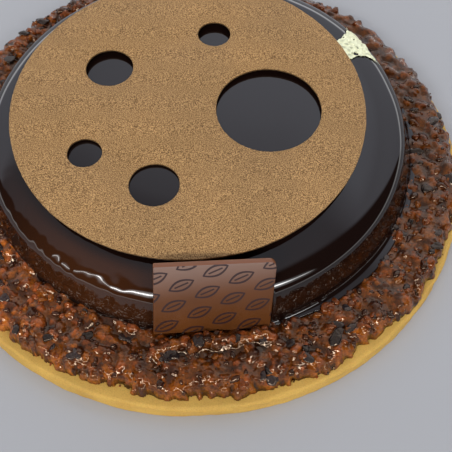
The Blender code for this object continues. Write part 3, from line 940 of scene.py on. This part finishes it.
def edge_rings(loop, thickness, edge, steps=3):
    """Carry a rounded edge round a closed outline: in from the face, over a quarter circle, down
    the side and over again. Returns points[outline, ring] with depth as the third number."""
    ahead, behind = np.roll(loop, -1, 0), np.roll(loop, 1, 0)
    along = (ahead - behind) / np.linalg.norm(ahead - behind, axis=1)[:, None]
    outward_normal = np.stack([along[:, 1], -along[:, 0]], 1)
    turn = np.linspace(0, np.pi / 2, steps + 1)
    inset = np.concatenate([edge * (1 - np.sin(turn)), edge * (1 - np.cos(turn))])
    depth = np.concatenate([edge * (1 - np.cos(turn)), thickness - edge * (1 - np.sin(turn))])
    flat = loop[:, None, :] - outward_normal[:, None, :] * inset[None, :, None]
    return np.concatenate([flat, np.broadcast_to(depth[None, :, None], (*flat.shape[:2], 1))], -1)


def fill_between(loops, normal):
    """Triangles that fill the flat region bounded by loops of numbered points."""
    shape = bmesh.new()
    numbers = {}
    for points, first in loops:
        verts = [shape.verts.new(point) for point in points]
        numbers.update({vert: first[k] for k, vert in enumerate(verts)})
        for pair in zip(verts, verts[1:] + verts[:1]):
            shape.edges.new(pair)
    bmesh.ops.triangle_fill(shape, use_beauty=True, edges=shape.edges[:], normal=normal)
    faces = []
    for face in shape.faces:
        face.normal_update()
        corners = [numbers[vert] for vert in face.verts]
        faces.append(corners if face.normal.dot(Vector(normal)) > 0 else corners[::-1])
    shape.free()
    return faces


def slab(loops, thickness, edge):
    """A flat plate from an outer loop and any hole loops: rounded edges, then the two filled faces.
    The outer loop runs anticlockwise and the holes clockwise, seen from the front."""
    points, faces, fronts, backs = [], [], [], []
    start = 0
    for loop in loops:
        rings = edge_rings(loop, thickness, edge)
        columns, rows = rings.shape[:2]
        faces += [list(quad + start) for quad in grid_quads(columns, rows, wrap=True)]
        flat = rings.reshape(-1, 3) * (1, 1, -1)
        points.append(flat)
        numbers = start + np.arange(columns) * rows
        fronts.append((rings[:, 0] * (1, 1, 0), numbers))
        backs.append((rings[:, -1] * (1, 1, 0), numbers + rows - 1))
        start += len(flat)
    faces += fill_between(fronts, (0, 0, 1))
    faces += fill_between(backs, (0, 0, -1))
    return np.concatenate(points), faces


def circle(x, y, radius, count, seed, rough):
    """A circle with its radius moved a little by seeded sine waves."""
    draw = np.random.default_rng(seed)
    angle = np.linspace(0, TAU, count, endpoint=False)
    reach = np.full(count, radius)
    for times in (3, 7, 17, 29, 43, 61):
        reach += rough * np.sin(times * angle + draw.uniform(0, TAU)) / math.sqrt(times)
    reach += draw.uniform(-0.5, 0.5, count) * rough
    return np.stack([x + reach * np.cos(angle), y + reach * np.sin(angle)], 1)


# Cocoa disc

def cocoa_material():
    c = colours()
    grain_size = sizes().cocoa_grain

    def inputs(tree):
        grain = noise(tree, grain_size, detail=2, roughness=0.6)
        blend = grain * 0.7 + noise(tree, 0.45 * grain_size, detail=1) * 0.3
        dust = ramp(tree, blend, ((0.425, c.cocoa_dark), (0.49, c.cocoa), (0.558, c.cocoa_light)))
        broad = ramp(tree, noise(tree, 25 * MM, detail=2),
                     ((0.3, (0.92, 0.92, 0.92)), (0.7, (1.06, 1.05, 1.04))))
        covered = attribute(tree, "dust")
        tone = mix(tree, covered, c.dark_chocolate, mix(tree, 1.0, dust, broad, "MULTIPLY"))
        return {"Base Color": tone, "Roughness": covered * 0.30 + 0.28,
                "Specular IOR Level": 0.25, "Normal": bumped(tree, blend, 0.22 * MM)}

    return finish_material("cocoa_spray", inputs)


def make_disc():
    """A slab bounded by one large circle and five holes, with a stretch of its rim curled up
    by a bell round the centre times a smoothstep outwards, tilted about X into its place."""
    loops = [circle(*DISC_CENTRE, DISC_RADIUS, 720, 50, 0.09 * MM)]
    for number, (x, y, radius) in enumerate(DISC_HOLES):
        loops.append(circle(x, y, radius, 240, 51 + number, 0.06 * MM)[::-1])
    points, faces = slab(loops, DISC_THICKNESS, DISC_EDGE)
    depth = -points[:, 2]
    away = points[:, :2] - DISC_CENTRE
    reach = np.hypot(*away.T)
    curl = (DISC_LIFT * bump(np.arctan2(away[:, 1], away[:, 0]), *DISC_CURL)
            * smoothstep(0.5 * DISC_RADIUS, DISC_RADIUS, reach) ** 1.5)
    points[:, 2] += curl
    points[:, :2] += DISC_CURL_OUT * curl[:, None] * away / (reach[:, None] + 1e-9)
    tilt = Matrix.Translation((0, 0, DISC_TOP)) @ Matrix.Rotation(DISC_TILT, 4, "X")
    piece = add_piece("pierced_disc", moved(points, tilt), faces, cocoa_material(), "cocoa_disc")
    piece.data.set_sharp_from_angle(angle=math.radians(50))
    paint(piece, "dust", 1 - smoothstep(0.35 * DISC_EDGE, 1.8 * DISC_EDGE, depth))


# Chocolate plaque

def plaque_loop():
    """A rectangle with one large and three small rounded corners, anticlockwise."""
    half = PLAQUE_WIDTH / 2
    corners = ((1, 0, PLAQUE_SMALL_CORNER), (1, 1, PLAQUE_CORNER),
               (-1, 1, PLAQUE_SMALL_CORNER), (-1, 0, PLAQUE_SMALL_CORNER))
    arcs = []
    for number, (side, high, radius) in enumerate(corners):
        x = side * (half - radius)
        y = PLAQUE_LENGTH - radius if high else radius
        turn = np.radians(90 * (number - 1) + np.linspace(0, 90, 9))
        arcs.append(np.stack([x + radius * np.cos(turn), y + radius * np.sin(turn)], 1))
    return np.concatenate(arcs)


def leaf_pattern(tree):
    """Thin outlines of slanted pointed leaves in staggered rows, 1 on a line and 0 off it. A
    leaf's edge is a parabola over its length on either side of a short middle rib."""
    place = wire(tree, "ShaderNodeUVMap", uv_map="face")
    place = node(tree, "ShaderNodeMapping", {"Vector": place, "Rotation": (0, 0, PATTERN_TURN)})
    split = node(tree, "ShaderNodeSeparateXYZ", {"Vector": Wire(place.outputs[0])}).outputs
    pitch_x, pitch_y = PATTERN_PITCH
    row = Wire(split["Y"]) / pitch_y
    shifted = Wire(split["X"]) / pitch_x + row.to("FLOOR") * 0.5
    across = (shifted.to("FRACT") - 0.5) * pitch_x
    up = abs((row.to("FRACT") - 0.5) * pitch_y)
    length, width = PATTERN_LEAF
    half_height = across * across * (-width / length ** 2) + width
    inside = half_height.to("GREATER_THAN", PATTERN_TIP)
    line = abs(up - half_height).to("LESS_THAN", PATTERN_LINE) * inside
    rib = up.to("LESS_THAN", PATTERN_RIB[1]) * abs(across).to("LESS_THAN", PATTERN_RIB[0])
    return line.to("MAXIMUM", rib)


def plaque_material():
    c = colours()

    def inputs(tree):
        on_face = attribute(tree, "printed")
        cloud = ramp(tree, noise(tree, 12 * MM, detail=3),
                     ((0.3, (0.9, 0.9, 0.9)), (0.7, (1.1, 1.08, 1.06))))
        tone = mix(tree, 1.0, c.milk_chocolate, cloud, "MULTIPLY")
        tone = mix(tree, on_face, c.chocolate_edge, tone)
        place = node(tree, "ShaderNodeSeparateXYZ", {"Vector": wire(tree, "ShaderNodeTexCoord", "Object")})
        # Painted sheen: the face mixed towards a pale grey, from under halfway up to its top
        middle, top = (PLAQUE_FOOT.z + share * PLAQUE_LENGTH for share in (0.45, 1))
        painted_sheen = ease(tree, Wire(place.outputs["Z"]), middle, top, 0.0, 0.52)
        tone = mix(tree, painted_sheen * on_face, tone, c.painted_sheen)
        tone = mix(tree, leaf_pattern(tree) * on_face * 0.95, tone, c.print_ink)
        fine = noise(tree, 0.8 * MM, detail=2)
        return {"Base Color": tone, "Roughness": 0.30, "Specular IOR Level": 0.4,
                "Normal": bumped(tree, fine, 0.02 * MM, 0.5)}

    return finish_material("milk_chocolate", inputs)


def make_plaque():
    """A slab from the rounded rectangle, stood up and leant on the cake's side, with its face's
    own places in centimetres as UVs."""
    points, faces = slab([plaque_loop()], PLAQUE_THICKNESS, PLAQUE_EDGE)
    upright = np.stack([points[:, 0], -points[:, 2], points[:, 1]], 1)
    piece = add_piece("leaning_plaque", moved(upright, plaque_matrix()), faces, plaque_material(),
                      "chocolate_plaque")
    piece.data.set_sharp_from_angle(angle=math.radians(40))
    paint(piece, "printed", (upright[:, 1] < 0.5 * PLAQUE_EDGE).astype(float))
    corner = np.zeros(len(piece.data.loops), np.int32)
    piece.data.loops.foreach_get("vertex_index", corner)
    layer = piece.data.uv_layers.new(name="face")
    layer.data.foreach_set("uv", (points[corner][:, :2] * 100).astype(np.float32).ravel())


# Gold leaf

def gold_material():
    c = colours()

    def inputs(tree):
        crease = noise(tree, 1.6 * MM, detail=4, roughness=0.65)
        # Painted shade: the leaf's colour is darker in the low parts of the crease pattern
        tone = ramp(tree, crease, ((0.3, [0.88 * part for part in c.gold]), (0.6, c.gold)))
        return {"Base Color": tone, "Metallic": 0.9, "Roughness": 0.32,
                "Normal": bumped(tree, crease, 0.25 * MM, 0.8)}

    return finish_material("gold_leaf", inputs)


def make_leaf():
    """A sheet over the shoulder: angle round the cake by distance down it, lifted off the glaze
    by crumple waves, with ragged sides and a few small tears left out of the grid."""
    columns, rows = 110, 90
    across, out = np.meshgrid(np.linspace(0, 1, columns), np.linspace(0, 1, rows), indexing="ij")
    ragged = 0.025 * waves(out, 0 * out, 0.22, 61) + 0.012 * waves(out, 0 * out, 0.07, 62)
    start = LEAF_START + LEAF_NOTCH * np.sin(np.pi * out)
    end = LEAF_END + LEAF_WIDENING * out
    angle = start + (end - start) * (across + ragged * (across - 0.5) * 2)
    uneven = 0.02 * waves(across, 0 * across, 0.25, 63) + 0.008 * waves(across, 0 * across, 0.08, 64)
    radius = LEAF_INNER + (LEAF_OUTER - LEAF_INNER) * out * (1 + uneven)
    turn = np.arcsin(np.clip((radius - FLAT_RADIUS) / SHOULDER_REACH, 0, 0.995))
    slope = SHOULDER_DROP / SHOULDER_REACH * np.tan(turn)
    normal = np.stack([slope, np.ones_like(slope)], -1) / np.hypot(slope, 1)[..., None]
    x, y = radius * np.cos(angle), radius * np.sin(angle)
    crease = 1 - np.abs(waves(x, y, 5 * MM, 65, count=7))
    lift = 0.35 * MM + sizes().leaf_crumple * (crease + 0.5 * waves(x, y, 2 * MM, 66))
    radius = radius + normal[..., 0] * lift
    height = shoulder(turn)[1] + normal[..., 1] * lift
    points = round_points(radius, angle, height, CAKE_CENTRE).reshape(-1, 3)
    quads = grid_quads(columns, rows, wrap=False)
    middle_across = across.ravel()[quads].mean(1)
    middle_out = out.ravel()[quads].mean(1)
    kept = np.ones(len(quads), bool)
    for at_across, at_out, wide, long in LEAF_TEARS:
        rough = 1 + 0.4 * np.sin(9 * middle_across + 14 * middle_out)
        kept &= np.hypot((middle_across - at_across) / wide, (middle_out - at_out) / long) > rough
    quads = quads[kept]
    used, numbers = np.unique(quads, return_inverse=True)
    piece = add_piece("gold_scrap", points[used], numbers.reshape(-1, 4), gold_material(),
                      "gold_leaf")
    thick = piece.modifiers.new("leaf", "SOLIDIFY")
    thick.thickness = LEAF_THICKNESS
    thick.offset = 1


# Stage

def camera_matrix():
    """Looks down by the pitch along +Y, then turns about its own line of sight by the roll."""
    ahead = Vector((0, math.cos(CAMERA_PITCH), -math.sin(CAMERA_PITCH)))
    right = Vector((1, 0, 0))
    up = right.cross(ahead)
    side = math.cos(CAMERA_ROLL) * right + math.sin(CAMERA_ROLL) * up
    above = -math.sin(CAMERA_ROLL) * right + math.cos(CAMERA_ROLL) * up
    turn = Matrix((side, above, -ahead)).transposed().to_4x4()
    return Matrix.Translation(CAMERA_PLACE) @ turn


def studio_glow(tree):
    """Brightness by direction. One broad soft panel lies overhead and behind, in a plane whose
    places are x/z and y/z, with its front edge a shallow V. One strip light in three lengths lies
    in front, in an upright plane whose places are x/-y and z/-y, with a narrow bright core and a
    wide faint skirt. A faint glow runs round the horizon."""
    direction = wire(tree, "ShaderNodeTexCoord", "Generated")
    parts = node(tree, "ShaderNodeSeparateXYZ", {"Vector": direction}).outputs
    x, y, z = (Wire(part) for part in parts)
    height = z.to("MAXIMUM", 0.02)
    across = x / height
    deep = y / height
    edge = abs(across + 0.2) * 0.55 - 0.65
    slant = across.to("MAXIMUM", 0.1) * 0.8 + deep
    panel = ease(tree, deep - edge, -0.06, 0.16) * ease(tree, slant, 0.58, 1.01, PANEL_FRONT, PANEL_BACK)
    panel = panel * ease(tree, abs(across - 0.3), 0.2, 0.65, 1.0, PANEL_SIDES)
    panel = panel * ease(tree, z, 0.0, 0.65, 0.6, 1.0) * ease(tree, z, -0.02, 0.02)
    ahead = (y * -1.0).to("MAXIMUM", 0.02)
    side = x / ahead
    off = abs(z / ahead - STRIP_HEIGHT)
    core = ease(tree, off, 0.02, 0.09, STRIP_CORE, 0.0)
    skirt = ease(tree, off, 0.0, 1.5 * STRIP_HALF_WIDTH, STRIP_SKIRT, 0.0)
    lengths = 0.0
    for start, end, level in (STRIP_LEFT, STRIP_RIGHT, STRIP_TAIL):
        half = (end - start) / 2
        past = abs(side - (start + end) / 2)
        lengths = ease(tree, past, half - 0.1, half + 0.25, level, 0.0) + lengths
    horizon = ease(tree, abs(z), 0.06, 0.12, HORIZON_GLOW, 0.0)
    total = (core + skirt) * lengths + horizon + ROOM_DARK
    cool, neutral = (wire(tree, "ShaderNodeCombineXYZ", 0, {"X": level, "Y": level, "Z": level})
                     for level in (panel, total))
    return mix(tree, 1.0, mix(tree, 1.0, PANEL_COLOUR, cool, "MULTIPLY"), neutral, "ADD")


def make_world():
    """The studio's glow for light and reflections, with a plain pale backdrop past the floor."""
    world = bpy.data.worlds.new("studio")
    world.use_nodes = True
    tree = world.node_tree
    lit = tree.nodes["Background"]
    feed(lit.inputs["Color"], studio_glow(tree))
    both = wire(tree, "ShaderNodeMixShader", 0, {
        0: wire(tree, "ShaderNodeLightPath", "Is Camera Ray"), 1: Wire(lit.outputs[0]),
        2: wire(tree, "ShaderNodeBackground", 0, {"Color": rgba(BACKDROP_TONE)})})
    feed(tree.nodes["World Output"].inputs["Surface"], both)
    bpy.context.scene.world = world


def make_stage():
    """Pale floor, camera and soft studio light."""
    half = FLOOR_HALF_WIDTH
    material = finish_material("floor", {"Base Color": rgba(FLOOR_TONE), "Roughness": 0.7})
    mesh = bpy.data.meshes.new("floor")
    mesh.from_pydata([(-half, -half, 0), (half, -half, 0), (half, half, 0), (-half, half, 0)], [],
                     [(0, 1, 2, 3)])
    mesh.materials.append(material)
    floor = bpy.data.objects.new("floor", mesh)
    bpy.context.scene.collection.objects.link(floor)
    camera = bpy.data.cameras.new("camera")
    camera.sensor_width = CAMERA_SENSOR
    camera.lens = CAMERA_SENSOR * CAMERA_FOCAL
    camera.clip_start, camera.clip_end = 0.01, 50
    view = bpy.data.objects.new("camera", camera)
    view.matrix_world = camera_matrix()
    bpy.context.scene.collection.objects.link(view)
    bpy.context.scene.camera = view
    make_world()
    bpy.context.scene.view_settings.view_transform = "Standard"


# Operators

class TORTE_OT_shortbread(bpy.types.Operator):
    """Make the shortbread disc"""
    bl_idname = "torte.shortbread"
    bl_label = "Shortbread"

    def execute(self, context):
        make_shortbread()
        return {"FINISHED"}


class TORTE_OT_nib_ring(bpy.types.Operator):
    """Make the caramel layer with its loose nuts, shards and crumbs"""
    bl_idname = "torte.nib_ring"
    bl_label = "Nib ring"

    def execute(self, context):
        s = sizes()
        bed = build_bed()
        make_bed(bed)
        make_loose(bed, NUT, s.nut_count, s.nut_size, nut_tones)
        make_loose(bed, SHARD, s.shard_count, s.shard_size, shard_tones)
        make_loose(bed, CRUMB, s.crumb_count, s.crumb_size, nut_tones)
        return {"FINISHED"}


class TORTE_OT_glaze(bpy.types.Operator):
    """Make the mirror glaze over the cake"""
    bl_idname = "torte.glaze"
    bl_label = "Glaze"

    def execute(self, context):
        make_glaze()
        return {"FINISHED"}


class TORTE_OT_cocoa_disc(bpy.types.Operator):
    """Make the pierced disc under its cocoa spray"""
    bl_idname = "torte.cocoa_disc"
    bl_label = "Cocoa disc"

    def execute(self, context):
        make_disc()
        return {"FINISHED"}


class TORTE_OT_plaque(bpy.types.Operator):
    """Make the chocolate plaque"""
    bl_idname = "torte.plaque"
    bl_label = "Plaque"

    def execute(self, context):
        make_plaque()
        return {"FINISHED"}


class TORTE_OT_gold_leaf(bpy.types.Operator):
    """Make the scrap of gold leaf"""
    bl_idname = "torte.gold_leaf"
    bl_label = "Gold leaf"

    def execute(self, context):
        make_leaf()
        return {"FINISHED"}


class TORTE_OT_stage(bpy.types.Operator):
    """Make the floor, camera and lights"""
    bl_idname = "torte.stage"
    bl_label = "Stage"

    def execute(self, context):
        make_stage()
        return {"FINISHED"}


class TORTE_PT_panel(bpy.types.Panel):
    """Lists the pieces, sizes and colours"""
    bl_idname = "TORTE_PT_panel"
    bl_label = "Torte"
    bl_space_type = "VIEW_3D"
    bl_region_type = "UI"
    bl_category = "Torte"

    def draw(self, context):
        layout = self.layout
        for operator in OPERATORS:
            layout.operator(operator.bl_idname)
        for group in (context.scene.torte_sizes, context.scene.torte_colours):
            box = layout.box()
            for name in group.__annotations__:
                box.prop(group, name)


OPERATORS = (TORTE_OT_stage, TORTE_OT_shortbread, TORTE_OT_nib_ring, TORTE_OT_glaze,
             TORTE_OT_cocoa_disc, TORTE_OT_plaque, TORTE_OT_gold_leaf)
CLASSES = (TorteSizes, TorteColours, *OPERATORS, TORTE_PT_panel)


def register():
    for made in CLASSES:
        bpy.utils.register_class(made)
    bpy.types.Scene.torte_sizes = PointerProperty(type=TorteSizes)
    bpy.types.Scene.torte_colours = PointerProperty(type=TorteColours)


def unregister():
    del bpy.types.Scene.torte_sizes
    del bpy.types.Scene.torte_colours
    for made in reversed(CLASSES):
        bpy.utils.unregister_class(made)


def main():
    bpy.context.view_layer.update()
    register()
    bpy.ops.torte.stage()
    bpy.ops.torte.shortbread()
    bpy.ops.torte.nib_ring()
    bpy.ops.torte.glaze()
    bpy.ops.torte.cocoa_disc()
    bpy.ops.torte.plaque()
    bpy.ops.torte.gold_leaf()


if __name__ == "__main__":
    main()
